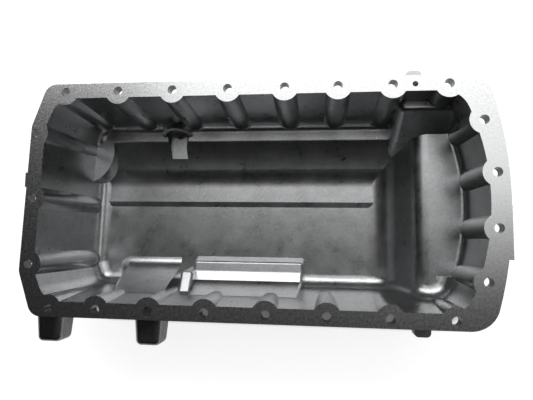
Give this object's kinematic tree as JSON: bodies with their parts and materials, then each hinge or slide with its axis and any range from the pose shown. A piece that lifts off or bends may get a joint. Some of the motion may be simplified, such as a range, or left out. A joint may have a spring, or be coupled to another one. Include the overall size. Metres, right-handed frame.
{
  "type": "engine oil pan",
  "caption": "Cast aluminium engine oil pan with a deep sump, a stepped shallow end, a screwed flange, side lugs and a hexagon drain plug with its washer.",
  "frame": {"origin": "middle of the flange's sealing face, which is the plane Z = 0", "axes": "+Z out of the sealing face, which is up on the engine; +X along the engine, towards the shallow end; +Y towards the side with the drain"},
  "size_m": [0.4467, 0.259, 0.113],
  "materials": {
    "oil_pan": "fine as-cast skin, with a machined sealing face",
    "drain_plug": "zinc-plated steel",
    "drain_washer": "soft aluminium sealing ring"
  },
  "bodies": {
    "root": {"oil_pan": "oil_pan", "drain_plug": "drain_plug", "drain_washer": "drain_washer"}
  },
  "joints": []
}
